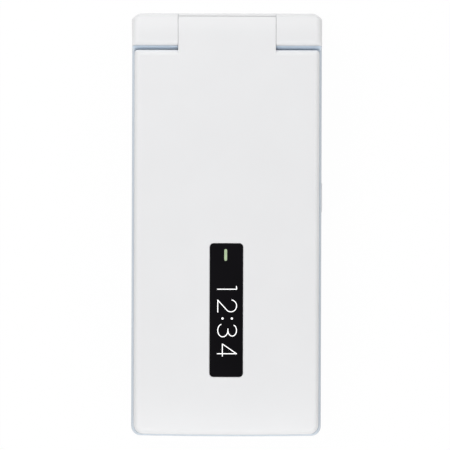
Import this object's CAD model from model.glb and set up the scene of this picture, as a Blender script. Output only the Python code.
from math import acos, atan, cos, degrees, pi, radians, sin

import bmesh
import bpy
from mathutils import Matrix, Vector


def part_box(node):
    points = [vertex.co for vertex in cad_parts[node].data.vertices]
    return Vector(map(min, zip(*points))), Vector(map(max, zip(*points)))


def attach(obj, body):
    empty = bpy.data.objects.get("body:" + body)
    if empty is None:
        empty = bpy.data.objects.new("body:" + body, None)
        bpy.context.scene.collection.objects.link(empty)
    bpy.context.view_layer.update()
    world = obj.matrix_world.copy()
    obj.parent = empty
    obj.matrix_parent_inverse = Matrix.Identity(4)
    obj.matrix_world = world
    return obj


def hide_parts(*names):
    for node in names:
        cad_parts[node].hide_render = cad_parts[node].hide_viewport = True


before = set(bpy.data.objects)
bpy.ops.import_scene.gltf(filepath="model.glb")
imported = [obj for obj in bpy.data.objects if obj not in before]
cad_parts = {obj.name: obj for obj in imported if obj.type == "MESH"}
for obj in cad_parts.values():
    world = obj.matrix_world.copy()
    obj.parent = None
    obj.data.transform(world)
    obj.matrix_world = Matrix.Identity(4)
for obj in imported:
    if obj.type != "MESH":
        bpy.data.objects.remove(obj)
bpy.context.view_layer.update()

# ---- sizes in millimetres, read from the frame or matched to it ----

MM = 0.001


def span(node):
    """A node's lowest and highest corners."""
    return [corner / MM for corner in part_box(node)]


def middle(node):
    low, high = span(node)
    return (low + high) / 2


HALF_W, HALF_L, BASE_SPLIT = span("base_rear_case")[1]
LID_END = span("lid_outer_cover")[0].y
LID_HALF_W, _, TOP = span("lid_outer_cover")[1]
KNUCKLE_X, HINGE_FRONT, FACE = span("hinge_cap_right")[0]
BARREL_R = (HALF_L - HINGE_FRONT) / 2
HINGE_Y, HINGE_Z = HALF_L - BARREL_R, TOP - BARREL_R
KEY_TOP = span("key_ok")[1].z

# Play at the lid's seams, half the base's seam, and play beside the tongue
SEAT, BASE_SEAM, TONGUE_PLAY = 0.05, 0.03, 0.07
TONGUE_X = KNUCKLE_X - TONGUE_PLAY
SHOULDER_GAP = 1.2
SHOULDER_Y = HINGE_FRONT - SHOULDER_GAP
UNDER = span("main_window")[0].z - SEAT
LID_CASE_H = 2.7
LID_SPLIT = UNDER + LID_CASE_H

# The plan's corners at the free end, hinge and lid's shoulders, and the free end's bow
FREE_R, HINGE_R, SHOULDER_R, BOW = 2.6, 2.8, 1.0, 0.2
# The shells' thickness: side walls, the lid's two faces and the keypad's face
WALL, LID_ROOF, LID_FLOOR, FACE_WALL = 1.2, 1.1, 1.6, 1.0
# The shells' long edges, and the small ones at their seams
LID_EDGE_R, UNDER_EDGE_R, REAR_EDGE_R, FACE_EDGE_R = 1.5, 0.4, 2.2, 0.6
SEAM_R, COVER_SEAM_R, KNUCKLE_END_R = 0.1, 0.12, 0.12

# The hinge's back: a round edge up to a slope in degrees, which levels out over the reach
BACK_ROUND, BACK_SLOPE, BACK_REACH = 1.6, 15, 6.0
# The outer knuckles: their front's round, how far it stands out, and their outer ends' edges
FRONT_ROUND, FRONT_OUT, CAP_EDGE_R, FRONT_EDGE_R = 1.55, 0.15, 2.0, 0.5
# Their inner ends' edge as inset and place, how deep their foot is, and where their rounds start
CAP_INNER_EDGE, CAP_SUNK, CAP_WAIST = ((0.12, 0), (0.08, 0.02), (0.03, 0.06), (0, 0.13)), 0.4, -1.2
# Radii about the hinge axis: the saddles, the lid's shoulders, and the trough with its lining
SADDLE_R, SCOOP_R, TROUGH_R, TROUGH_LINING = 5.54, 5.62, 5.7, 0.7
SHOULDER_PLAY = 0.04
# The middle knuckle's seam from the hinge axis, its gap, and how deep both shells' roots are
COVER_LIP_Y, COVER_LIP_Z, LIP_GAP = BARREL_R - 0.8, 2.2, 0.09
COVER_ROOT, CASE_ROOT = 0.4, 0.2

# How far a key's flange reaches past its cap, and the play round the cap
FLANGE, KEY_FIT = 0.35, 0.15
# How far a cutter reaches past what it cuts
PAST = 1

# ---- outlines: each takes an inset and gives the same count of points ----


def arc(cx, cy, r, start, end, steps=8):
    """Points from one angle in degrees to another."""
    turns = [radians(start + (end - start) * i / steps) for i in range(steps + 1)]
    return [(cx + r * cos(a), cy + r * sin(a)) for a in turns]


def rounded(w, l, r, at=(0, 0), steps=6):
    """A rounded rectangle as a function of its inset."""
    def outline(inset=0.0):
        corner = max(r - inset, 0.02)
        x, y = w / 2 - inset - corner, l / 2 - inset - corner
        points = []
        for i, (sx, sy) in enumerate(((1, 1), (-1, 1), (-1, -1), (1, -1))):
            points += arc(at[0] + sx * x, at[1] + sy * y, corner, 90 * i, 90 * i + 90, steps)
        return points
    return outline


def round_at(at, r, steps=32):
    def outline(inset=0.0):
        return arc(at[0], at[1], r - inset, 0, 360 - 360 / steps, steps - 1)
    return outline


def plan(half_w, low, high, r_low, r_high):
    """The phone's plan: round corners, and a free end that bows out."""
    def outline(inset=0.0):
        hw, y0, y1 = half_w - inset, low + inset, high - inset
        r0, r1 = max(r_low - inset, 0.3), max(r_high - inset, 0.2)
        tilt = degrees(atan(2 * BOW / (hw - r0)))
        cy = y0 + BOW + r0 * cos(radians(tilt))
        xe = hw - r0 + r0 * sin(radians(tilt))
        points = arc(hw - r1, y1 - r1, r1, 0, 90) + arc(-hw + r1, y1 - r1, r1, 90, 180)
        points += arc(-hw + r0, cy, r0, 180, 270 - tilt)
        points += [(xe * i / 8, y0 + BOW * (i / 8) ** 2) for i in range(-7, 8)]
        return points + arc(hw - r0, cy, r0, 270 + tilt, 360)
    return outline


def back_point(turn):
    """A point on the hinge's back, from the hinge axis, where the surface looks up by the turn in degrees."""
    a, slope = radians(turn), radians(BACK_SLOPE)
    wide = (BACK_REACH - BACK_ROUND) / sin(slope) + BACK_ROUND
    if turn > 90 - BACK_SLOPE:
        return BARREL_R - BACK_REACH + wide * cos(a), BARREL_R - wide * (1 - sin(a))
    top = BARREL_R - wide * (1 - cos(slope)) - BACK_ROUND * cos(slope)
    return BARREL_R - BACK_ROUND * (1 - cos(a)), top + BACK_ROUND * sin(a)


def hinge_back(start, end=90, steps=8):
    """The outline from a turn up to another one, or up to the flat top."""
    last = min(end, 90 - BACK_SLOPE)
    turns = [start + (last - start) * i / steps for i in range(steps + 1)]
    if end == 90:
        turns += [90 - BACK_SLOPE * i / 4 for i in (3, 2, 1, 0)]
    return [back_point(turn) for turn in turns]


def back_turn(across):
    """The turn at which the round edge lies this far from the hinge axis."""
    return degrees(acos((across - BARREL_R + BACK_ROUND) / BACK_ROUND))


# The least divisor at a sharp corner, which keeps it from running out, in a profile and in a line
SHARPEST, SHARPEST_LINE = 0.4, 0.5


def inset_points(points, inset):
    """The same polygon with each side moved in."""
    moved = []
    for i, p in enumerate(points):
        before, after = Vector(points[i - 1]), Vector(points[(i + 1) % len(points)])
        a, b = (Vector(p) - before).normalized(), (after - Vector(p)).normalized()
        na, nb = Vector((-a.y, a.x)), Vector((-b.y, b.x))
        moved.append(Vector(p) + inset * (na + nb) / max(1 + na.dot(nb), SHARPEST))
    return moved


def about_hinge(points):
    """A profile given from the hinge axis, as a function of its inset."""
    def outline(inset=0.0):
        return [(HINGE_Y + p[0], HINGE_Z + p[1]) for p in inset_points(points, inset)]
    return outline


base_plan = plan(HALF_W, -HALF_L, HALF_L, FREE_R, HINGE_R)
lid_plan = plan(LID_HALF_W, LID_END, SHOULDER_Y, FREE_R, SHOULDER_R)

# ---- meshes, made in millimetres ----

# An edge stays sharp where its faces turn by more than this, in degrees
SHARP_TURN = 34


def loft(bm, rings, endless=False):
    """A skin through rings of equal count, closed at both ends or, when endless, from last to first."""
    loops = [[bm.verts.new(point) for point in points] for points in rings]
    for low, high in zip(loops, loops[1:] + loops[:1] if endless else loops[1:]):
        for i in range(len(low)):
            j = (i + 1) % len(low)
            bm.faces.new((low[i], low[j], high[j], high[i]))
    if not endless:
        bm.faces.new(loops[0][::-1])
        bm.faces.new(loops[-1])


def prism(outline, levels, bm=None):
    """An outline drawn up through levels of inset and height."""
    bm = bm or bmesh.new()
    loft(bm, [[(x, y, z) for x, y in outline(inset)] for inset, z in levels])
    return bm


def bar(outline, stations, bm=None):
    """A profile in the YZ plane drawn out along X."""
    bm = bm or bmesh.new()
    loft(bm, [[(x, y, z) for y, z in outline(inset)] for inset, x in stations])
    return bm


def rounding(at, r, side, steps=6):
    """Inset and place of each ring of a quarter round that ends at the place, on its low or high side."""
    turns = [pi / 2 * i / steps for i in range(steps + 1)]
    rings = [(r * (1 - cos(a)), at + side * -r * (1 - sin(a))) for a in turns]
    return rings if side > 0 else rings[::-1]


def wall(low, high, low_r=0.0, high_r=0.0, steps=6):
    """Levels of a wall with a round lower and upper edge."""
    start = rounding(low, low_r, -1, steps) if low_r else [(0.0, low)]
    return start + (rounding(high, high_r, 1, steps) if high_r else [(0.0, high)])


# How far a hole's cutter reaches out of the face
MOUTH_PAST = 0.3


def mouth(outline, face, depth, lip=0.15, up=1, bm=None):
    """A cutter for a hole whose rim is rounded off, in a face that looks up, or down where up is -1."""
    turns = [radians(a) for a in (0, 25, 50, 75)]
    levels = [(0.0, face - up * depth)]
    levels += [(-lip * (1 - cos(a)), face - up * lip * (1 - sin(a))) for a in turns]
    levels.append((-lip, face + up * MOUTH_PAST))
    return prism(outline, levels if up > 0 else levels[::-1], bm)


def solid(bm):
    """An object from a mesh in the making, which is used up."""
    bmesh.ops.recalc_face_normals(bm, faces=bm.faces)
    mesh = bpy.data.meshes.new("shape")
    bm.to_mesh(mesh)
    bm.free()
    obj = bpy.data.objects.new("shape", mesh)
    bpy.context.scene.collection.objects.link(obj)
    return obj


def remove(obj):
    """Deletes an object with its mesh."""
    mesh = obj.data
    bpy.data.objects.remove(obj)
    bpy.data.meshes.remove(mesh)


def reopen(obj):
    """The object's mesh, to be added to; the object is used up."""
    bm = bmesh.new()
    bm.from_mesh(obj.data)
    remove(obj)
    return bm


def bake(obj):
    """Applies every modifier."""
    depsgraph = bpy.context.evaluated_depsgraph_get()
    mesh = bpy.data.meshes.new_from_object(obj.evaluated_get(depsgraph))
    plain = obj.data
    obj.modifiers.clear()
    obj.data = mesh
    bpy.data.meshes.remove(plain)


def combine(obj, operation, *shapes, crossing=False):
    """Joins or cuts with each shape in turn, which is used up. The parts of a crossing shape overlap."""
    for shape in shapes:
        tool = solid(shape)
        step = obj.modifiers.new(operation, "BOOLEAN")
        step.operation, step.solver, step.object, step.use_self = operation, "EXACT", tool, crossing
        bake(obj)
        remove(tool)


def join(obj, *shapes):
    combine(obj, "UNION", *shapes)


def cut(obj, *shapes, crossing=False):
    combine(obj, "DIFFERENCE", *shapes, crossing=crossing)


def piece(shape, name, body, material, nodes=()):
    """Finishes an object or mesh made in millimetres, and puts it on its body."""
    obj = solid(shape) if isinstance(shape, bmesh.types.BMesh) else shape
    obj.name = obj.data.name = name
    obj.data.transform(Matrix.Scale(MM, 4))
    obj.data.shade_smooth()
    obj.data.set_sharp_from_angle(angle=radians(SHARP_TURN))
    step = obj.modifiers.new("normals", "WEIGHTED_NORMAL")
    step.keep_sharp = True
    bake(obj)
    obj.data.materials.clear()
    obj.data.materials.append(material)
    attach(obj, body)
    if nodes:
        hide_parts(*nodes)


# ---- materials ----

# The Mix node's colour sockets, which share their names with its other sockets
MIX_FACTOR, MIX_FIRST, MIX_SECOND, MIX_RESULT = 0, 6, 7, 2
# The parts of the noise's range that mottling and smudges use, and the noises' detail
MOTTLE_LOW, MOTTLE_HIGH = 0.35, 0.65
SMUDGE_LOW, SMUDGE_HIGH, SMUDGE_DETAIL, RELIEF_DETAIL = 0.3, 0.7, 5.0, 2.0


class Tree:
    """Short ways to add nodes to a node tree."""

    def __init__(self, tree):
        self.nodes, self.links = tree.nodes, tree.links

    def node(self, kind, inputs=(), **settings):
        made = self.nodes.new(kind)
        for key, value in settings.items():
            setattr(made, key, value)
        for key, value in dict(inputs).items():
            if isinstance(value, bpy.types.NodeSocket):
                self.links.new(value, made.inputs[key])
            else:
                made.inputs[key].default_value = value
        return made

    def math(self, operation, *values):
        return self.node("ShaderNodeMath", dict(enumerate(values)), operation=operation).outputs[0]

    def ramp(self, value, low, high, to_low, to_high):
        limits = {"From Min": low, "From Max": high, "To Min": to_low, "To Max": to_high}
        return self.node("ShaderNodeMapRange", {"Value": value, **limits}).outputs["Result"]


class Look(Tree):
    """A Principled material with textures: mottling, smudges and relief take the values of their methods."""

    def __init__(self, name, color, roughness, mottle, smudge=None, relief=None, **sockets):
        self.material = bpy.data.materials.new(name)
        self.material.use_nodes = True
        super().__init__(self.material.node_tree)
        self.shader = self.nodes["Principled BSDF"]
        self.color, self.roughness = color, roughness
        self.shader.inputs["Base Color"].default_value = (*color, 1)
        self.shader.inputs["Roughness"].default_value = roughness
        for socket, value in sockets.items():
            self.shader.inputs[socket.replace("_", " ")].default_value = value
        self.place = self.node("ShaderNodeTexCoord").outputs["Object"]
        self.mottle(*mottle)
        if smudge:
            self.smudge(*smudge)
        if relief:
            self.relief(*relief)

    def link(self, output, socket):
        self.links.new(output, self.shader.inputs[socket])

    def noise(self, size, detail=3.0, stretch=(1, 1, 1)):
        """Noise whose blobs are about size millimetres across."""
        place = self.node("ShaderNodeMapping", {"Vector": self.place, "Scale": stretch}).outputs["Vector"]
        settings = {"Vector": place, "Scale": 1 / (size * MM), "Detail": detail}
        return self.node("ShaderNodeTexNoise", settings).outputs["Fac"]

    def blend(self, mask, first, color):
        """The first colour, and another one where the mask is 1."""
        inputs = {MIX_FACTOR: mask, MIX_FIRST: first, MIX_SECOND: (*color, 1)}
        self.base = self.node("ShaderNodeMix", inputs, data_type="RGBA").outputs[MIX_RESULT]
        self.link(self.base, "Base Color")

    def mottle(self, amount, size=14.0):
        """Uneven colour."""
        mask = self.ramp(self.noise(size), MOTTLE_LOW, MOTTLE_HIGH, 0, 1)
        self.blend(mask, (*self.color, 1), [channel * (1 - amount) for channel in self.color])

    def smudge(self, amount, size=9.0):
        """Uneven gloss, as from handling."""
        noise, gloss = self.noise(size, SMUDGE_DETAIL), self.roughness
        self.link(self.ramp(noise, SMUDGE_LOW, SMUDGE_HIGH, gloss - amount, gloss + amount), "Roughness")

    def relief(self, size, height, stretch=(1, 1, 1)):
        """Fine relief, with its height in millimetres."""
        noise = self.noise(size, RELIEF_DETAIL, stretch)
        bump = self.node("ShaderNodeBump", {"Height": noise, "Distance": height * MM, "Strength": 1.0})
        self.link(bump.outputs["Normal"], "Normal")


def look(*values, **sockets):
    return Look(*values, **sockets).material


def gloss_white(name, color, mottle):
    coat = {"Coat_Weight": 0.6, "Coat_Roughness": 0.04, "Coat_IOR": 1.5}
    return look(name, color, 0.38, (mottle,), (0.04,), (1.6, 0.0006), **coat)


WHITE = gloss_white("pearl_white", (0.875, 0.877, 0.887), 0.012)
KEY_WHITE = gloss_white("key_white", (0.83, 0.84, 0.86), 0.02)
SILVER_BLUE = look("silver_blue", (0.67, 0.735, 0.8), 0.36, (0.06, 0.25), (0.04,), (0.2, 0.0012),
                   Metallic=0.1, Coat_Weight=0.5, Coat_Roughness=0.1)
SADDLE_BLUE = look("saddle_blue", (0.72, 0.84, 0.97), 0.38, (0.04, 0.3), (0.04,), (0.2, 0.001),
                   Coat_Weight=0.3, Coat_Roughness=0.1)
GLASS = look("black_glass", (0.006, 0.0055, 0.007), 0.05, (0.3, 30), (0.02, 25))
PANEL = look("panel_dark", (0.05, 0.052, 0.058), 0.45, (0.2,), (0.05,))
STEEL = look("brushed_steel", (0.62, 0.63, 0.65), 0.34, (0.1, 2), (0.05, 3), (0.15, 0.001, (0.05, 1, 1)),
             Metallic=1.0)
RUBBER = look("grey_rubber", (0.55, 0.57, 0.6), 0.75, (0.06, 1), (0.05, 2), (0.2, 0.006))
BOARD = look("circuit_board", (0.015, 0.1, 0.06), 0.4, (0.35, 1.2), (0.05, 2))
GOLD = look("gold_contact", (0.8, 0.56, 0.22), 0.2, (0.1, 1), (0.05, 1), Metallic=1.0)
DARK = look("dark_plastic", (0.02, 0.02, 0.022), 0.5, (0.2, 2), (0.06,), (0.25, 0.004))
FILM = look("flex_film", (0.45, 0.2, 0.03), 0.34, (0.15, 1.5), (0.05,), Coat_Weight=0.4)
LAMP = look("lamp_green", (0.33, 0.42, 0.26), 0.22, (0.2, 1), (0.03,),
            Emission_Color=(0.5, 0.62, 0.4, 1), Emission_Strength=0.38, Coat_Weight=0.6)
WRAP = look("battery_wrap", (0.62, 0.64, 0.68), 0.4, (0.05, 6), (0.05,), (0.5, 0.002))
INK = look("legend_ink", (0.12, 0.15, 0.2), 0.45, (0.1, 1), (0.05, 1))
GREEN_INK = look("call_ink", (0.05, 0.36, 0.14), 0.45, (0.1, 1), (0.05, 1))
RED_INK = look("end_ink", (0.55, 0.04, 0.03), 0.45, (0.1, 1), (0.05, 1))
DIGITS = look("lit_digits", (0.8, 0.8, 0.8), 0.4, (0.06, 1),
              Emission_Color=(1, 1, 1, 1), Emission_Strength=0.75)
LENS = look("lens", (0.02, 0.01, 0.05), 0.03, (0.5, 1), (0.01,),
            Coat_Weight=1.0, Coat_Roughness=0.0, Coat_Tint=(0.6, 0.5, 1, 1))
LAMP_LENS = look("flash_lens", (0.75, 0.74, 0.62), 0.2, (0.2, 0.8), None, (0.6, 0.03),
                 Coat_Weight=1.0, Coat_Roughness=0.05)

# ---- thin lines for digits and symbols ----

# Half a line's thickness, and how far a line lies over the one before where they cross
LINE_T, LAYER = 0.03, 0.002


def oval(cx, cy, rx, ry, start, end, steps=18):
    return [(cx + rx * x, cy + ry * y) for x, y in arc(0, 0, 1, start, end, steps)]


def ribbon(bm, points, width, place, closed=False, lift=0.0):
    """A flat line with square ends along points in a plane."""
    count = len(points)
    left, right = [], []
    for i in range(count):
        p = Vector(points[i])
        before = Vector(points[i - 1]) if i or closed else None
        after = Vector(points[(i + 1) % count]) if i < count - 1 or closed else None
        a = (p - before).normalized() if before is not None else (after - p).normalized()
        b = (after - p).normalized() if after is not None else a
        na, nb = Vector((-a.y, a.x)), Vector((-b.y, b.x))
        side = (na + nb) / max(1 + na.dot(nb), SHARPEST_LINE) * width / 2
        left.append(p + side)
        right.append(p - side)
    rows = []
    for z in (-LINE_T, LINE_T + lift):
        rows.append([[bm.verts.new(place @ Vector((p.x, p.y, z))) for p in line] for line in (left, right)])
    (low_l, low_r), (high_l, high_r) = rows
    for i in range(count if closed else count - 1):
        j = (i + 1) % count
        bm.faces.new((high_r[i], high_r[j], high_l[j], high_l[i]))
        bm.faces.new((low_l[i], low_l[j], low_r[j], low_r[i]))
        bm.faces.new((high_l[i], high_l[j], low_l[j], low_l[i]))
        bm.faces.new((low_r[i], low_r[j], high_r[j], high_r[i]))
    if not closed:
        bm.faces.new((low_l[0], low_r[0], high_r[0], high_l[0]))
        bm.faces.new((high_l[-1], high_r[-1], low_r[-1], low_l[-1]))


def stroke(*points):
    return list(points), False


def ring(cx, cy, rx, ry, steps=35):
    return oval(cx, cy, rx, ry, 0, 350, steps), True


SIX = [ring(0.31, 0.31, 0.3, 0.3), stroke((0.46, 1.0), (0.23, 0.7), (0.06, 0.47), (0.015, 0.36))]
# Each digit or sign: its width, and its lines in units of its height
GLYPHS = {
    "0": (0.62, [ring(0.31, 0.5, 0.3, 0.49)]),
    "1": (0.22, [stroke((0.22, 0.0), (0.22, 1.0)), stroke((0.2, 0.985), (0.055, 0.965))]),
    "2": (0.66, [stroke(*oval(0.325, 0.69, 0.3, 0.29, 172, -38), (0.04, 0.035)),
                 stroke((0.02, 0.035), (0.655, 0.035))]),
    "3": (0.68, [stroke(*oval(0.345, 0.765, 0.285, 0.215, 160, -85)),
                 stroke(*oval(0.345, 0.29, 0.325, 0.255, 88, -162)), stroke((0.25, 0.548), (0.4, 0.548))]),
    "4": (0.64, [stroke((0.0, 0.27), (0.64, 0.27)), stroke((0.5, 0.0), (0.5, 1.0)),
                 stroke((0.49, 0.97), (0.02, 0.285))]),
    "5": (0.6, [stroke((0.56, 0.97), (0.14, 0.97)),
                stroke((0.15, 0.97), (0.08, 0.53), *oval(0.29, 0.32, 0.3, 0.305, 128, -150))]),
    "6": (0.62, SIX),
    "7": (0.6, [stroke((0.0, 0.97), (0.6, 0.97)), stroke((0.585, 0.95), (0.2, 0.0))]),
    "8": (0.6, [ring(0.3, 0.75, 0.235, 0.235), ring(0.3, 0.27, 0.28, 0.26)]),
    "9": (0.62, [([(0.62 - x, 1 - y) for x, y in line], closed) for line, closed in SIX]),
    ":": (0.1, [ring(0.05, y, 0.034, 0.034, 17) for y in (0.275, 0.745)]),
    "star": (0.6, [stroke((0.3 - 0.28 * cos(a), 0.5 - 0.28 * sin(a)),
                          (0.3 + 0.28 * cos(a), 0.5 + 0.28 * sin(a)))
                   for a in (pi / 6, pi / 2, pi * 5 / 6)]),
    "hash": (0.7, [stroke((0.24, 0.12), (0.3, 0.88)), stroke((0.46, 0.12), (0.52, 0.88)),
                   stroke((0.06, 0.36), (0.68, 0.36)), stroke((0.08, 0.64), (0.7, 0.64))]),
}


def stand(x, y, z, turn=0):
    """A place, turned about the vertical by degrees."""
    return Matrix.Translation((x, y, z)) @ Matrix.Rotation(radians(turn), 4, "Z")


def write(bm, sign, place, height, width):
    """Draws one sign with its lower left corner at the place."""
    for i, (line, closed) in enumerate(GLYPHS[sign][1]):
        ribbon(bm, [(x * height, y * height) for x, y in line], width, place, closed, LAYER * i)


# ---- the lid ----

CROWN = 0.2
# The lid's face slopes down over its last stretch towards the free end
DROOP, DROOP_OVER = 1.3, 13.3
DROOP_FROM = LID_END + DROOP_OVER
# Where the lid's faces are cut across, so that they can follow the crown and the slope
CROWN_X = (4, 8, 11, 14, 17, 20, 22, 23.4)
DROOP_Y = [DROOP_FROM - 1.1 * i for i in range(11)]
# Over the seam, where the lid's walls start to follow the slope, and over what height they do
BEND_FROM, BEND_OVER = 1, 2

# The outer window: its corner, the play round it, its seat, and its edge as inset and depth
SUB_R, SUB_PLAY, SUB_SEAT = 1.0, 0.06, 0.85
SUB_EDGE = ((0, 0.08), (0.03, 0.03), (0.1, 0))
# The notice lamp: its corner, how far its hole and then it keep in from its node's side, and its edge
LAMP_R, LAMP_RIM, LAMP_OVER, LAMP_EDGE_R = 0.47, 0.08, 0.01, 0.08
# The clock's digits: their height, their line and where their feet stand
DIGIT_H, DIGIT_LINE, DIGIT_FOOT_X, DIGIT_LIFT = 5.34, 0.22, -2.475, 0.008
# Each sign and its left edge along the phone, from the outer window's hinge end
DIGIT_STARTS = (("1", 11.11), ("2", 15.01), (":", 19.88), ("3", 21.49), ("4", 26.91))

# The inner display's window, with its edge as inset and depth, and the panel's unlit border
MAIN_R, MAIN_EDGE, MAIN_BORDER = 2, ((0.2, 0), (0.04, 0.07), (0, 0.15)), 1.5
DISPLAY_DARK = (0.026, 0.029, 0.036)
EAR_R, WINDOW_PLAY, WINDOW_SEAT = 0.6, 0.05, 0.95
BUMPER_R, BUMPER_PLAY, BUMPER_SEAT = 1.3, 0.05, 1
# The grille's wires, how many stand and lie, and how far the outer ones keep from the edges
WIRE, WIRE_R, STANDING, LYING, STANDING_IN, LYING_IN = 0.11, 0.02, 34, 5, 0.15, 0.1


def plan_of(node, r, grow=0.0, steps=6):
    """A node's rounded outline from above, grown all round."""
    low, high = span(node)
    return rounded(high.x - low.x + 2 * grow, high.y - low.y + 2 * grow, r, middle(node)[:2], steps)


def fall(x, y):
    """How far the lid's face falls away to its sides and to its free end."""
    end = max(0.0, (DROOP_FROM - y) / DROOP_OVER)
    return CROWN * (x / LID_HALF_W) ** 2 + DROOP * end ** 2


def crown_lid(obj):
    bm = bmesh.new()
    bm.from_mesh(obj.data)
    planes = [((side * x, 0, 0), (1, 0, 0)) for x in CROWN_X for side in (-1, 1)]
    planes += [((0, y, 0), (0, 1, 0)) for y in DROOP_Y]
    for point, normal in planes:
        geometry = bm.verts[:] + bm.edges[:] + bm.faces[:]
        bmesh.ops.bisect_plane(bm, geom=geometry, plane_co=point, plane_no=normal, dist=1e-4)
    for vert in bm.verts:
        share = min(max((vert.co.z - LID_SPLIT - BEND_FROM) / BEND_OVER, 0), 1)
        vert.co.z -= share * fall(vert.co.x, vert.co.y)
    bm.to_mesh(obj.data)
    bm.free()


def cylinder(r, low, high, bm=None):
    """A round bar about the hinge axis."""
    return bar(about_hinge(arc(0, 0, r, 0, 355, 71)), [(0, low), (0, high)], bm)


def scoop():
    """Hollows the lid's shoulders a little, so that they pass round the saddles."""
    bm = bmesh.new()
    for side in (-1, 1):
        cylinder(SCOOP_R, *sorted((side * (TONGUE_X + SHOULDER_PLAY), side * HALF_W)), bm)
    return bm


def tongue(profile):
    """The middle knuckle, from a profile given from the hinge axis."""
    return bar(about_hinge(profile), wall(-TONGUE_X, TONGUE_X, KNUCKLE_END_R, KNUCKLE_END_R, 3))


def lid_cover():
    reach = BARREL_R + SHOULDER_GAP + LID_EDGE_R + COVER_ROOT
    back = hinge_back(back_turn(COVER_LIP_Y))
    points = [(-reach, COVER_LIP_Z), (COVER_LIP_Y, COVER_LIP_Z)] + back + [(-reach, BARREL_R)]
    obj = solid(prism(lid_plan, wall(LID_SPLIT + SEAT, TOP, COVER_SEAM_R, LID_EDGE_R, 8)))
    join(obj, tongue(points))
    hollow = prism(lid_plan, [(WALL, LID_SPLIT - PAST), (WALL, TOP - LID_ROOF)])
    seat = mouth(plan_of("sub_window", SUB_R + SUB_PLAY, SUB_PLAY), TOP, SUB_SEAT)
    cut(obj, hollow, seat, scoop())
    crown_lid(obj)
    piece(obj, "lid_cover", "lid", WHITE, ["lid_outer_cover"])


def sub_window():
    low, high = span("sub_window")
    edge = [(inset, high.z - depth) for inset, depth in SUB_EDGE]
    obj = solid(prism(plan_of("sub_window", SUB_R), [(0, low.z)] + edge))
    lamp = plan_of("light_guide", LAMP_R)
    cut(obj, mouth(lambda d: lamp(d + LAMP_RIM), high.z, 2, lip=0.02))
    piece(obj, "outer_window", "lid", GLASS, ["sub_window"])
    low, high = span("light_guide")
    obj = solid(prism(lambda d: lamp(d + LAMP_RIM + LAMP_OVER), wall(low.z, high.z, 0, LAMP_EDGE_R, 3)))
    piece(obj, "notice_lamp", "lid", LAMP, ["light_guide"])


def clock():
    """Digits lit behind the outer window, which read along the phone."""
    corner = span("sub_window")[1]
    bm = bmesh.new()
    for sign, start in DIGIT_STARTS:
        place = stand(DIGIT_FOOT_X, corner.y - start, corner.z - LINE_T + DIGIT_LIFT, -90)
        write(bm, sign, place, DIGIT_H, DIGIT_LINE)
    piece(bm, "clock_digits", "lid", DIGITS)


def lid_case():
    obj = solid(prism(lid_plan, wall(UNDER, LID_SPLIT, UNDER_EDGE_R, SEAM_R, 4)))
    reach = BARREL_R + SHOULDER_GAP + CASE_ROOT
    # The barrel, up to the seam under the outer cover, with the lip that closes the middle knuckle's end
    lip = hinge_back(0, back_turn(COVER_LIP_Y + LIP_GAP), 4)
    under = arc(0, 0, BARREL_R, -180, 0, 28)
    seam = COVER_LIP_Z - SEAT
    lip += [(COVER_LIP_Y + LIP_GAP, seam), (-reach, seam)]
    join(obj, tongue([(-reach, 0)] + under + lip))
    hollow = prism(lid_plan, [(WALL, UNDER + LID_FLOOR), (WALL, LID_SPLIT + PAST)])
    window = mouth(plan_of("main_window", MAIN_R, WINDOW_PLAY), UNDER, WINDOW_SEAT, up=-1)
    slot = mouth(plan_of("earpiece_mesh", EAR_R, WINDOW_PLAY), UNDER, 3, lip=0.25, up=-1)
    seats = bmesh.new()
    for at in bumper_places():
        mouth(round_at(at, BUMPER_R + BUMPER_PLAY), UNDER, BUMPER_SEAT, lip=0.12, up=-1, bm=seats)
    cut(obj, hollow, window, slot, seats, scoop())
    piece(obj, "lid_case", "lid", WHITE, ["lid_inner_case"])


def bumper_places():
    low, high = span("lid_bumpers")
    rows = low.y + BUMPER_R, high.y - BUMPER_R
    return [(x, y) for x in (low.x + BUMPER_R, high.x - BUMPER_R) for y in rows]


def bumpers():
    low, high = span("lid_bumpers")
    bm = bmesh.new()
    for at in bumper_places():
        prism(round_at(at, BUMPER_R), wall(low.z, high.z, 0.3, 0, 4), bm)
    piece(bm, "bumpers", "lid", RUBBER, ["lid_bumpers"])


def lit_area(glass, node, border):
    """A mask that is 1 over a node seen from above, less a border."""
    low, high = span(node)
    place = glass.node("ShaderNodeSeparateXYZ", {"Vector": glass.place})
    inside = None
    for i, axis in enumerate("XY"):
        offset = glass.math("SUBTRACT", place.outputs[axis], middle(node)[i] * MM)
        half = (high[i] - low[i]) / 2 - border
        less = glass.math("LESS_THAN", glass.math("ABSOLUTE", offset), half * MM)
        inside = less if inside is None else glass.math("MULTIPLY", inside, less)
    return inside


def main_window():
    low, high = span("main_window")
    edge = [(inset, low.z + depth) for inset, depth in MAIN_EDGE]
    obj = solid(prism(plan_of("main_window", MAIN_R), edge + [(0, high.z)]))
    glass = Look("display_glass", (0.005, 0.005, 0.006), 0.04, (0.3, 30))
    glass.blend(lit_area(glass, "main_display", MAIN_BORDER), glass.base, DISPLAY_DARK)
    piece(obj, "display_window", "lid", glass.material, ["main_window"])


def earpiece():
    """A woven grille behind the slot."""
    low, high = span("earpiece_mesh")
    w, l = high.x - low.x, high.y - low.y
    bm = bmesh.new()
    for i in range(STANDING):
        x = low.x + STANDING_IN + (w - 2 * STANDING_IN) * i / (STANDING - 1)
        wire = rounded(WIRE, l, WIRE_R, (x, (low.y + high.y) / 2), 1)
        prism(wire, [(0, low.z), (0, low.z + WIRE)], bm)
    for i in range(LYING):
        y = low.y + LYING_IN + (l - 2 * LYING_IN) * i / (LYING - 1)
        prism(rounded(w, WIRE, WIRE_R, (0, y), 1), [(0, low.z + WIRE * 0.6), (0, high.z)], bm)
    piece(bm, "earpiece_grille", "lid", STEEL, ["earpiece_mesh"])


# ---- the base ----

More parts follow.
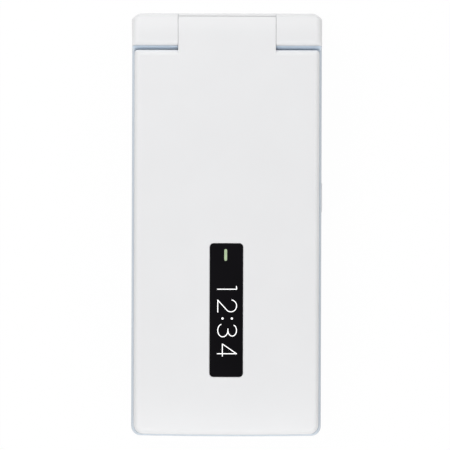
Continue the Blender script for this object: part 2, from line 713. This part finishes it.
# The microphone's hole, and the keys' holes
MIC_FROM_END, MIC_R = 6.6, 0.5
KEY_HOLE_R, NAV_HOLE_R, KEY_HOLE_DEPTH, KEY_LIP = 1.35, 5.65, 3, 0.14
# The saddles: their span of turns about the axis, their foot, their edges and how far they keep in
SADDLE_FROM, SADDLE_TO, SADDLE_FOOT = 143, 200, 0.5
SADDLE_INNER_R, SADDLE_OUTER_R, SADDLE_IN = 0.1, 0.5, 0.25

# The battery cover: its corner, the play round it, its thickness and the ledge under it
COVER_R, COVER_PLAY, COVER_T, LEDGE, LEDGE_Z = 3, 0.12, 0.9, 1.2, (0.9, 1.9)
# Its tabs: their size, that of their slots, how far in they stand, and where the end ones are
TAB, TAB_SLOT, TAB_R, TAB_IN, TAB_X = (3, 0.8), (3.3, 1.1), 0.2, 1.1, 8
# Its finger grip: the grooves' number, step, length and how it falls, width, corner and place
GRIPS, GRIP_STEP, GRIP_L, GRIP_LESS, GRIP_W, GRIP_R, GRIP_FROM = 5, 1.5, 9, 0.9, 0.7, 0.34, 6
# The notch for a nail beside its end
NOTCH, NOTCH_R, NOTCH_DEPTH, NOTCH_OUT = (8, 3), 1.4, 0.5, 0.6
# The battery: its corner and edge, the bay's corner, play, wall and height, and its three contacts
CELL_R, CELL_EDGE_R, BAY_R, BAY_PLAY, BAY_WALL, BAY_Z = 1.2, 0.5, 1, 0.2, 0.8, (1.0, 5.7)
CONTACT_X, CONTACT, CONTACT_R, CONTACT_Z = (-4, 0, 4), (2.2, 3), 0.2, (2.2, 0.6)

REAR_DEPTH = 2.5
CAMERA_R, CAMERA_PLAY, CAMERA_SLOPE, GLASS_R, LENS_R = 4.6, 0.06, 1.3, 3.3, 1.36
# The camera's lamp: side, corner, play and place from the window's edge
FLASH, FLASH_R, FLASH_PLAY, FLASH_IN = 3.4, 1.1, 0.05, 1.7
# The loudspeaker's slots: size, corner, step, and how many lie on each side of the middle one
SLOT, SLOT_R, SLOT_STEP, SLOTS_BESIDE = (1, 5), 0.45, 2, 2
# The rear screws: head, hole and shank, the cross in the head, and how deep each pair sits
SCREW_R, SCREW_HOLE_R, SHANK_R, HEAD_H, CROSS, CROSS_DEPTH = 1.5, 1.6, 0.8, 0.8, (1.9, 0.42), 0.4
HIDDEN_Z, HIDDEN_IN, OPEN_Z = 1.0, 4, 0.4

# The side key's flange round its cap, and the play in its hole
SIDE_FLANGE, SIDE_FLANGE_T, SIDE_R, SIDE_EDGE_R, SIDE_PLAY = (0.6, 0.5), 0.5, 0.8, 0.35, 0.12
# The port's cover: length, thickness, corner, play and shift, then its plug and its nail nick
FLAP_L, FLAP_T, FLAP_R, FLAP_PLAY, FLAP_SHIFT = 11, 0.9, 0.45, 0.12, 0.05
PLUG, PLUG_R, NICK, NICK_R, NICK_DEPTH, NICK_IN = (6.6, 1.7), 0.5, (1.0, 2), 0.4, 0.3, 0.3
# The strap eyelet: one hole from the side and one from below meet
STRAP_FROM_BACK, STRAP_Z, STRAP_IN, STRAP_R, STRAP_DEPTH = 19, 2.9, 3.9, 1.1, 3.4


def cap_profile():
    """An outer knuckle's outline from the hinge axis: its foot, back, top and front."""
    front, foot = -BARREL_R - FRONT_OUT, FACE - HINGE_Z - CAP_SUNK
    points = [(front, foot), (BARREL_R, foot), (BARREL_R, CAP_WAIST)] + hinge_back(0)
    points += arc(front + FRONT_ROUND, BARREL_R - FRONT_ROUND, FRONT_ROUND, 90, 180, 6)
    return points + [(front, CAP_WAIST)]


def hinge_cap(side):
    """An outer knuckle. Its outer end is rounded to the plan's corner at the back and to the edge on top."""
    profile = cap_profile()
    facing = [(out - Vector(p)).normalized() for out, p in zip(inset_points(profile, -1), profile)]
    facing[:2] = Vector((-1, 0)), Vector((1, 0))
    radii = []
    for n in facing:
        back, up = max(n.x, 0) ** 2, max(n.y, 0) ** 2
        radii.append(HINGE_R * back + CAP_EDGE_R * up + FRONT_EDGE_R * (1 - back - up))
    rings = [[(KNUCKLE_X + x, HINGE_Y + p[0], HINGE_Z + p[1]) for p in inset_points(profile, inset)]
             for inset, x in CAP_INNER_EDGE]
    for a in [radians(10 * i) for i in range(10)]:
        points = []
        for p, n, r in zip(profile, facing, radii):
            d = r * (1 - cos(a))
            x = HALF_W - r * (1 - sin(a))
            points.append((x, HINGE_Y + p[0] - d * n.x, HINGE_Z + p[1] - d * n.y))
        rings.append(points)
    bm = bmesh.new()
    loft(bm, [[(side * x, y, z) for x, y, z in points] for points in rings])
    hand = "right" if side > 0 else "left"
    piece(bm, "knuckle_" + hand, "base", WHITE, ["hinge_cap_" + hand])


KEYS = [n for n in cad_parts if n.startswith("key_") and n not in ("key_board", "key_domes")]


def cap_outline(node, r, grow=0.0, steps=6):
    """The outline of a key's cap, which stands on a wider flange."""
    return plan_of(node, r, grow - FLANGE, steps)


def front_case():
    obj = solid(prism(base_plan, wall(BASE_SPLIT + BASE_SEAM, FACE, SEAM_R, FACE_EDGE_R, 6)))
    holes = bmesh.new()
    for key in KEYS:
        if key != "key_ok":
            mouth(cap_outline(key, KEY_HOLE_R, KEY_FIT), FACE, KEY_HOLE_DEPTH, KEY_LIP, bm=holes)
    mouth(cap_outline("nav_ring", NAV_HOLE_R, KEY_FIT, 10), FACE, KEY_HOLE_DEPTH, KEY_LIP, bm=holes)
    mouth(round_at((0, -HALF_L + MIC_FROM_END), MIC_R, 20), FACE, KEY_HOLE_DEPTH, bm=holes)
    hollow = prism(base_plan, [(WALL, BASE_SPLIT - PAST), (WALL, FACE - FACE_WALL)])
    cut(obj, hollow, cylinder(TROUGH_R, -KNUCKLE_X, KNUCKLE_X), holes)
    bm = reopen(obj)
    edge = KNUCKLE_X + TROUGH_LINING
    shell = arc(0, 0, TROUGH_R, 300, 222, 20) + arc(0, 0, TROUGH_R + TROUGH_LINING, 222, 300, 20)
    bar(about_hinge(shell), [(0, -edge), (0, edge)], bm)
    piece(bm, "front_case", "base", SILVER_BLUE, ["base_front_case"])


def saddles():
    """The rails that fill the gaps between the hinge caps and the lid's shoulders."""
    foot = FACE - HINGE_Z - SADDLE_FOOT
    saddle = arc(0, 0, SADDLE_R, SADDLE_FROM, SADDLE_TO, 14)
    saddle += [(-SADDLE_R + 0.2, foot), (-BARREL_R + 0.1, foot)]
    for side, name in ((-1, "saddle_left"), (1, "saddle_right")):
        stations = wall(KNUCKLE_X, HALF_W - SADDLE_IN, SADDLE_INNER_R, SADDLE_OUTER_R, 4)
        bm = bar(about_hinge(saddle), [(d, side * x) for d, x in stations])
        piece(bm, name, "base", SADDLE_BLUE)


def rear_case():
    obj = solid(prism(base_plan, wall(0, BASE_SPLIT - BASE_SEAM, REAR_EDGE_R, SEAM_R, 8)))
    cut(obj, prism(base_plan, [(WALL, WALL), (WALL, BASE_SPLIT + PAST)]))
    bay = plan_of("battery", BAY_R, BAY_PLAY)
    ledge = prism(plan_of("battery_cover", COVER_R, LEDGE), [(0, z) for z in LEDGE_Z])
    join(obj, ledge, prism(lambda d: bay(d - BAY_WALL), [(0, z) for z in BAY_Z]))
    cover = mouth(plan_of("battery_cover", COVER_R + 0.1, COVER_PLAY), 0, 0.95, lip=0.12, up=-1)
    slots = tabs(TAB_SLOT, (0.5, 4), bmesh.new())
    cutters = [cover, mouth(bay, 0.95, 7, lip=0.2, up=-1), slots, rear_openings()]
    cut(obj, *cutters, *side_openings())
    piece(obj, "rear_case", "base", WHITE, ["base_rear_case"])


def flash_place():
    """The middle of the camera's lamp."""
    return span("camera_window")[1].x - FLASH_IN, middle("camera_module").y


def rear_openings():
    """Holes in the back: camera, lamp, loudspeaker and screws."""
    bm = bmesh.new()
    camera_at = middle("camera_module")[:2]
    mouth(round_at(camera_at, CAMERA_R + CAMERA_PLAY, 48), 0, REAR_DEPTH, lip=0.25, up=-1, bm=bm)
    side = FLASH + 2 * FLASH_PLAY
    mouth(rounded(side, side, FLASH_R + FLASH_PLAY, flash_place()), 0, REAR_DEPTH, up=-1, bm=bm)
    speaker = middle("loudspeaker")
    for i in range(-SLOTS_BESIDE, SLOTS_BESIDE + 1):
        at = (speaker.x + SLOT_STEP * i, speaker.y)
        mouth(rounded(*SLOT, SLOT_R, at), 0, REAR_DEPTH, up=-1, bm=bm)
    for at, z in screw_places():
        mouth(round_at(at, SCREW_HOLE_R, 24), 0, z + HEAD_H + SEAT, lip=0.12, up=-1, bm=bm)
    return bm


def side_openings():
    """Holes in the sides: side key, port and strap, and the notch beside the battery cover."""
    key_hole = [(0, HALF_W - 3), (0, HALF_W - 0.12), (-0.1, HALF_W), (-0.1, HALF_W + PAST)]
    port_hole = [(-0.1, -HALF_W - PAST), (-0.1, -HALF_W), (0, -HALF_W + 0.12), (0, -HALF_W + 2.6)]
    strap_x, strap_y = HALF_W - STRAP_IN, HALF_L - STRAP_FROM_BACK
    strap_hole = [(0, strap_x), (0, HALF_W - 0.25), (-0.07, HALF_W - 0.1), (-0.25, HALF_W)]
    strap_hole.append((-0.25, HALF_W + PAST))
    notch_at = (0, span("battery_cover")[0].y - NOTCH_OUT)
    return [bar(side_key_outline(*SIDE_FLANGE, SIDE_R + 0.1, SIDE_PLAY), key_hole),
            bar(flap_outline(FLAP_R - 0.05, FLAP_PLAY), port_hole),
            bar(round_at((strap_y, STRAP_Z), STRAP_R, 24), strap_hole),
            mouth(round_at((strap_x, strap_y), STRAP_R, 24), 0, STRAP_DEPTH, lip=0.25, up=-1),
            mouth(rounded(*NOTCH, NOTCH_R, notch_at), 0, NOTCH_DEPTH, lip=0.2, up=-1)]


def tabs(size, levels, bm):
    """The battery cover's tabs or their slots: two at each end and three along each side."""
    low, high = span("battery_cover")
    y_middle, length = middle("battery_cover").y, high.y - low.y
    ends = [(x, y) for x in (-TAB_X, TAB_X) for y in (low.y + TAB_IN, high.y - TAB_IN)]
    sides = [(x, y_middle + y * length / 3) for x in (low.x + TAB_IN, high.x - TAB_IN) for y in (-1, 0, 1)]
    for places, (w, l) in ((ends, size), (sides, size[::-1])):
        for at in places:
            prism(rounded(w, l, TAB_R, at, 2), [(0, z) for z in levels], bm)
    return bm


def screw_places():
    """Centre and height of each rear screw's outer face."""
    low, high = span("base_screws")
    cover = span("battery_cover")[1]
    hidden = [((side * (cover.x - HIDDEN_IN), low.y + SCREW_R), HIDDEN_Z) for side in (-1, 1)]
    return hidden + [((side * (high.x - SCREW_R), high.y - SCREW_R), OPEN_Z) for side in (-1, 1)]


def screws():
    bm = bmesh.new()
    slots = bmesh.new()
    for at, z in screw_places():
        prism(round_at(at, SCREW_R, 28), wall(z, z + HEAD_H, 0.25, 0, 4), bm)
        for size in (CROSS, CROSS[::-1]):
            prism(rounded(*size, 0.05, at, 1), [(0, z - PAST), (0, z + CROSS_DEPTH)], slots)
    obj = solid(bm)
    cut(obj, slots, crossing=True)
    bm = reopen(obj)
    for at, z in screw_places():
        prism(round_at(at, SHANK_R, 20), [(0, z + HEAD_H), (0, span("base_screws")[1].z)], bm)
    piece(bm, "case_screws", "base", STEEL, ["base_screws"])


def battery_cover():
    high = span("battery_cover")[1]
    obj = solid(prism(plan_of("battery_cover", COVER_R), wall(0, COVER_T, 0.14, 0, 4)))
    grip = bmesh.new()
    for i in range(GRIPS):
        length = GRIP_L - GRIP_LESS * abs(i - GRIPS // 2)
        outline = rounded(length, GRIP_W, GRIP_R, (0, high.y - GRIP_FROM - GRIP_STEP * i))
        mouth(outline, 0, 0.25, lip=0.1, up=-1, bm=grip)
    cut(obj, grip)
    bm = tabs(TAB, (COVER_T - 0.02, high.z), reopen(obj))
    piece(bm, "battery_lid", "battery_cover", WHITE, ["battery_cover"])


def battery():
    low, high = span("battery")
    obj = solid(prism(plan_of("battery", CELL_R), wall(low.z, high.z, CELL_EDGE_R, CELL_EDGE_R, 5)))
    pads = bmesh.new()
    for x in CONTACT_X:
        levels = [(0, high.z - depth) for depth in CONTACT_Z]
        prism(rounded(*CONTACT, CONTACT_R, (x, high.y - 0.2)), levels, pads)
    cut(obj, pads)
    piece(obj, "cell", "base", WRAP, ["battery"])


def camera():
    """A steel bezel round a black window, with the lens behind it and a lamp beside it."""
    at = middle("camera_module")[:2]
    z = span("camera_window")[0].z
    bezel = round_at(at, CAMERA_R, 64)
    levels = [(CAMERA_SLOPE, 0.25), (1.15, 0.02), (1.0, 0), (0.25, 0), (0.08, 0.06), (0, 0.25), (0, 0.7),
              (CAMERA_SLOPE, 0.7)]
    bm = bmesh.new()
    loft(bm, [[(x, y, z + up) for x, y in bezel(inset)] for inset, up in levels], endless=True)
    piece(bm, "camera_bezel", "base", STEEL)
    levels = [(2.0, z + 0.6), (1.9, z + 0.24), (0, z + 0.26), (0.0, z + 0.66)]
    piece(solid(prism(round_at(at, GLASS_R, 64), levels)), "camera_glass", "base", GLASS,
          ["camera_window"])
    turns = [radians(15 * i) for i in range(5, -1, -1)]
    dome = [(1.35 * (1 - cos(a)), z + 0.62 - 0.3 * sin(a)) for a in turns]
    bm = prism(round_at(at, LENS_R, 48), dome + [(0, z + 0.68)])
    piece(bm, "camera_lens", "base", LENS)
    bm = prism(rounded(FLASH, FLASH, FLASH_R, flash_place()), wall(z, z + 1.1, 0.2, 0, 4))
    piece(bm, "camera_lamp", "base", LAMP_LENS)


def side_key_outline(less_l, less_h, r, grow=0.0):
    """The side key's outline from the side, less a flange along and across, and grown all round."""
    low, high = span("side_key")
    at = middle("side_key")
    l, h = high.y - low.y - 2 * less_l, high.z - low.z - 2 * less_h
    return rounded(l + 2 * grow, h + 2 * grow, r, (at.y, at.z))


def side_key():
    low, high = span("side_key")
    bm = bar(side_key_outline(*SIDE_FLANGE, SIDE_R), wall(low.x, high.x, 0, SIDE_EDGE_R, 5))
    bar(side_key_outline(0, 0, SIDE_R), [(0, low.x), (0, low.x + SIDE_FLANGE_T)], bm)
    piece(bm, "side_button", "side_key", WHITE, ["side_key"])


def flap_middle():
    low, high = span("port_cover")
    return high.y - FLAP_L / 2 + FLAP_SHIFT, (low.z + high.z) / 2


def flap_outline(r, grow=0.0):
    """The port cover's outline from the side, grown all round."""
    low, high = span("port_cover")
    return rounded(FLAP_L + 2 * grow, high.z - low.z + 2 * grow, r, flap_middle())


def port_cover():
    low, high = span("port_cover")
    obj = solid(bar(flap_outline(FLAP_R), wall(-HALF_W, -HALF_W + FLAP_T, 0.12, 0, 3)))
    nick = rounded(*NICK, NICK_R, (low.y + NICK_IN, flap_middle()[1]))
    cut(obj, bar(nick, [(0.0, -HALF_W - PAST), (0, -HALF_W + NICK_DEPTH)]))
    stations = [(0, -HALF_W + FLAP_T - 0.02), (0.1, high.x)]
    bm = bar(rounded(*PLUG, PLUG_R, flap_middle()), stations, reopen(obj))
    piece(bm, "port_flap", "port_cover", WHITE, ["port_cover"])


# ---- keys ----

CAP_R, OK_R, NAV_R, DOME, NAV_DOME, CAP_EDGE, NAV_EDGE = 1.2, 2.4, 5.5, 0.1, 0.05, 0.28, 0.3
# Under the face: a cap's foot, its flange and its stem. The centre key's flange is placed from below.
CAP_DEEP, FLANGE_DEEP, FLANGE_T, OK_FLANGE_TOP, STEM_R, STEM_DEEP = 1, 1.1, 0.5, 0.7, 1.2, 0.8
# The four-way key: the hole for the centre key, the flange's own hole and its heights
NAV_HOLE, NAV_HOLE_CORNER, NAV_FLANGE_HOLE, NAV_FLANGE_Z = 10.2, 2.6, 11.7, (7.3, 7.75)
NAV_MARK, NAV_MARK_W = ((-0.9, 8.1), (0, 9.0), (0.9, 8.1)), 0.4

LEGEND_H, LEGEND_W, SYMBOL_W = 3.9, 0.42, 0.85 * 0.42
LEGEND_Z = KEY_TOP - LINE_T + 0.004
NUMBERS = {"key_star": "star", "key_hash": "hash", **{f"key_{i}": str(i) for i in range(10)}}
# The handset's lines and their widths, and its turn and shift on each key
HANDSET = ((oval(0, -0.55, 1.5, 1.15, 32, 148, 12), 0.5),
           (((1.02, -0.1), (1.42, -0.28)), 0.62), (((-1.02, -0.1), (-1.42, -0.28)), 0.62))
HANDSETS = {"key_call": (135, 0, GREEN_INK), "key_end": (0, -0.3, RED_INK)}
# Each symbol's lines, and whether a line is closed
SYMBOLS = {
    "key_ok": [ring(0, 0, 1.0, 1.0)],
    "key_clear": [([(-1.9, 0), (-1.1, 0.95), (1.9, 0.95), (1.9, -0.95), (-1.1, -0.95)], True),
                  stroke((-0.1, 0.42), (0.9, -0.42)), stroke((-0.1, -0.42), (0.9, 0.42))],
    "key_mail": [([(-1.8, -1.15), (-1.8, 1.15), (1.8, 1.15), (1.8, -1.15)], True),
                 stroke((-1.7, 1.05), (0, -0.25), (1.7, 1.05))],
    "key_web": [(oval(0, 0, 1.5, 1.5, 0, 360, 30)[:-1], True), (oval(0, 0, 0.62, 1.5, 0, 360, 24)[:-1], True),
                stroke((-1.45, 0), (1.45, 0))],
    "key_camera": [([(-1.8, -1.1), (-1.8, 0.85), (-0.75, 0.85), (-0.45, 1.25), (0.45, 1.25), (0.75, 0.85),
                     (1.8, 0.85), (1.8, -1.1)], True), (oval(0, -0.12, 0.65, 0.65, 0, 360, 20)[:-1], True)],
    "key_menu": [stroke((-1.5, y), (1.5, y)) for y in (0.9, 0, -0.9)],
}


def key_cap(bm, node, r, dome=DOME, edge=CAP_EDGE, steps=6):
    """A cap with a rounded edge and a top that is a little domed."""
    at = middle(node)
    outline = cap_outline(node, r, 0, steps)
    top = KEY_TOP - dome
    rings = [[(x, y, z) for x, y in outline(d)] for d, z in wall(FACE - CAP_DEEP, top, 0, edge, 4)]
    for share in (0.75, 0.45, 0.15):
        z = top + dome * (1 - share * share)
        rings.append([(at.x + (x - at.x) * share, at.y + (y - at.y) * share, z) for x, y in outline(edge)])
    loft(bm, rings)


def key_legend(key):
    """A key's digit, handset or symbol."""
    bm = bmesh.new()
    at, ink = middle(key), INK
    if key in NUMBERS:
        sign = NUMBERS[key]
        place = stand(at.x - GLYPHS[sign][0] * LEGEND_H / 2, at.y - LEGEND_H / 2, LEGEND_Z)
        write(bm, sign, place, LEGEND_H, LEGEND_W)
    elif key in HANDSETS:
        turn, shift, ink = HANDSETS[key]
        for i, (line, width) in enumerate(HANDSET):
            ribbon(bm, line, width, stand(at.x, at.y + shift, LEGEND_Z, turn), False, LAYER * i)
    else:
        width = LEGEND_W if key == "key_ok" else SYMBOL_W
        for i, (line, closed) in enumerate(SYMBOLS[key]):
            ribbon(bm, line, width, stand(at.x, at.y, LEGEND_Z), closed, LAYER * i)
    piece(bm, "legend_" + key[4:], key, ink)


def keys():
    for key in KEYS:
        low, at = span(key)[0], middle(key)[:2]
        bm = bmesh.new()
        key_cap(bm, key, OK_R if key == "key_ok" else CAP_R)
        under = low.z + OK_FLANGE_TOP if key == "key_ok" else FACE - FLANGE_DEEP
        prism(plan_of(key, CAP_R, 0, 3), [(0, under - FLANGE_T), (0, under)], bm)
        prism(round_at(at, STEM_R, 20), [(0, low.z), (0, FACE - STEM_DEEP)], bm)
        piece(bm, "cap_" + key[4:], key, KEY_WHITE, [key])
        key_legend(key)


def nav_ring():
    at = middle("nav_ring")
    bm = bmesh.new()
    key_cap(bm, "nav_ring", NAV_R, NAV_DOME, NAV_EDGE, 10)
    obj = solid(bm)
    hole = rounded(NAV_HOLE, NAV_HOLE, NAV_HOLE_CORNER, at[:2])
    cut(obj, mouth(hole, KEY_TOP, 4, lip=0.16))
    bm = reopen(obj)
    outer = plan_of("nav_ring", NAV_R)()
    inner = rounded(NAV_FLANGE_HOLE, NAV_FLANGE_HOLE, NAV_HOLE_CORNER, at[:2])()
    low, high = NAV_FLANGE_Z
    levels = ((outer, low), (outer, high), (inner, high), (inner, low))
    loft(bm, [[(x, y, z) for x, y in outline] for outline, z in levels], endless=True)
    piece(bm, "four_way_key", "nav_ring", SILVER_BLUE, ["nav_ring"])
    bm = bmesh.new()
    for i in range(4):
        ribbon(bm, NAV_MARK, NAV_MARK_W, stand(at.x, at.y, LEGEND_Z, 90 * i))
    piece(bm, "four_way_marks", "nav_ring", INK)


# ---- what stays as the frame has it ----

CARRIED = (
    (STEEL, ["key_domes", "shield_cans", "usb_socket", "vibration_motor", "hinge_shaft", "hinge_bush",
             "display_chassis", "lid_screws", "hinge_can", "hinge_slider", "hinge_spring", "nav_gimbal"]),
    (BOARD, ["key_board", "main_board", "lid_board"]),
    (GOLD, ["battery_contacts"]),
    (DARK, ["camera_module", "loudspeaker", "earpiece"]),
    (PANEL, ["main_display", "sub_display"]),
    (FILM, ["hinge_flex"]),
)


def carry_over():
    for material, nodes in CARRIED:
        for node in nodes:
            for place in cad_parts[node].material_slots:
                place.material = material


# ---- camera, floor and light ----

# The picture's size and its scale at the lid's face, the camera's distance over it, its turn, and how
# far the phone's middle is from the picture's
PHOTO_PX, PX_PER_MM = 450, 3.73
CAMERA_DISTANCE, SENSOR_MM, CLIP_START = 2.6, 36, 0.01
ROLL = 0.17
OFF_CENTRE_PX = (1.55, 0.1)

# Each lamp's place, size and watts
LAMPS = {
    "left_light": ((-0.15, 0.21, 0.25), (0.16, 0.3), 0.52),
    "right_light": ((0.2, 0.2, 0.22), (0.16, 0.3), 0.28),
    "front_light": ((0, -0.26, 0.17), (0.36, 0.26), 0.53),
}
# How bright the tent is at its foot and at its top, and the directions between which it changes
TENT_LOW, TENT_HIGH, TENT_FROM, TENT_TO = 0.28, 0.42, 0.1, 0.7
# The tent's opening, by how steeply a direction points up, and how bright it is
HOLE_FROM, HOLE_TO, HOLE_LEVEL = 0.94, 0.9985, 0.05
# The floor's grey, and the share and strength of the glow that brings it to white for the camera
FLOOR_GREY, FLOOR_WHITE, FLOOR_GLOW = (0.55, 0.55, 0.55, 1), 0.95, 1.025
FLOOR_SIDE, FLOOR_Z = 3, -0.0002


def camera_above():
    """Straight over the closed lid, turned by the photograph's small clockwise roll."""
    data = bpy.data.cameras.new("photo_camera")
    data.sensor_width = SENSOR_MM
    data.lens = SENSOR_MM * CAMERA_DISTANCE / (PHOTO_PX / PX_PER_MM * MM)
    data.clip_start = CLIP_START
    eye = bpy.data.objects.new("photo_camera", data)
    bpy.context.scene.collection.objects.link(eye)
    x, y = (-px / PX_PER_MM * MM for px in OFF_CENTRE_PX)
    eye.location = (x, -y, TOP * MM + CAMERA_DISTANCE)
    eye.rotation_euler = (0, 0, radians(ROLL))
    bpy.context.scene.camera = eye


def softbox(name, location, size, watts):
    """A soft lamp that lights the phone without showing in its gloss."""
    data = bpy.data.lights.new(name, "AREA")
    data.shape = "RECTANGLE"
    data.size, data.size_y = size
    data.energy = watts
    light = bpy.data.objects.new(name, data)
    light.location = location
    light.visible_glossy = False
    light.rotation_euler = (-Vector(location)).to_track_quat("-Z", "Y").to_euler()
    bpy.context.scene.collection.objects.link(light)


def seen_directly(tree):
    """1 for what the camera sees, also by way of a mirror or through glass."""
    path = tree.node("ShaderNodeLightPath")
    total = path.outputs["Is Camera Ray"]
    for other in ("Is Glossy Ray", "Is Transmission Ray"):
        total = tree.math("MAXIMUM", total, path.outputs[other])
    return total


def studio():
    """A light tent that is dark only straight overhead, where the camera looks in, and three lamps."""
    for name, (location, size, watts) in LAMPS.items():
        softbox(name, location, size, watts)
    world = bpy.data.worlds.new("studio")
    bpy.context.scene.world = world
    world.use_nodes = True
    tree = Tree(world.node_tree)
    sky = tree.nodes["Background"]
    sky.inputs["Color"].default_value = (1, 1, 1, 1)
    place = tree.node("ShaderNodeTexCoord").outputs["Generated"]
    up = tree.node("ShaderNodeSeparateXYZ", {0: place}).outputs["Z"]
    hole = tree.ramp(up, HOLE_FROM, HOLE_TO, 1, HOLE_LEVEL)
    tent = tree.ramp(up, TENT_FROM, TENT_TO, TENT_LOW, TENT_HIGH)
    level = tree.node("ShaderNodeMix", {"A": tent, "B": 1, "Factor": seen_directly(tree)})
    tree.links.new(tree.math("MULTIPLY", hole, level.outputs[0]), sky.inputs["Strength"])


def floor():
    """A pale floor that stays white to the camera and keeps the phone's soft shadow."""
    corners = [(x * FLOOR_SIDE, y * FLOOR_SIDE, FLOOR_Z) for x, y in ((-1, -1), (1, -1), (1, 1), (-1, 1))]
    mesh = bpy.data.meshes.new("floor")
    mesh.from_pydata(corners, [], [(0, 1, 2, 3)])
    obj = bpy.data.objects.new("floor", mesh)
    bpy.context.scene.collection.objects.link(obj)
    material = bpy.data.materials.new("floor")
    material.use_nodes = True
    tree = Tree(material.node_tree)
    tree.nodes.clear()
    diffuse = tree.node("ShaderNodeBsdfDiffuse", {"Color": FLOOR_GREY}).outputs[0]
    glow = tree.node("ShaderNodeEmission", {"Strength": FLOOR_GLOW}).outputs[0]
    share = tree.math("MULTIPLY", seen_directly(tree), FLOOR_WHITE)
    mix = tree.node("ShaderNodeMixShader", {0: share, 1: diffuse, 2: glow}).outputs[0]
    tree.node("ShaderNodeOutputMaterial", {0: mix})
    mesh.materials.append(material)


lid_cover()
sub_window()
clock()
lid_case()
bumpers()
main_window()
earpiece()
for side in (-1, 1):
    hinge_cap(side)
front_case()
saddles()
rear_case()
screws()
battery_cover()
battery()
camera()
side_key()
port_cover()
keys()
nav_ring()
carry_over()
camera_above()
studio()
floor()
bpy.context.scene.view_settings.view_transform = "Standard"
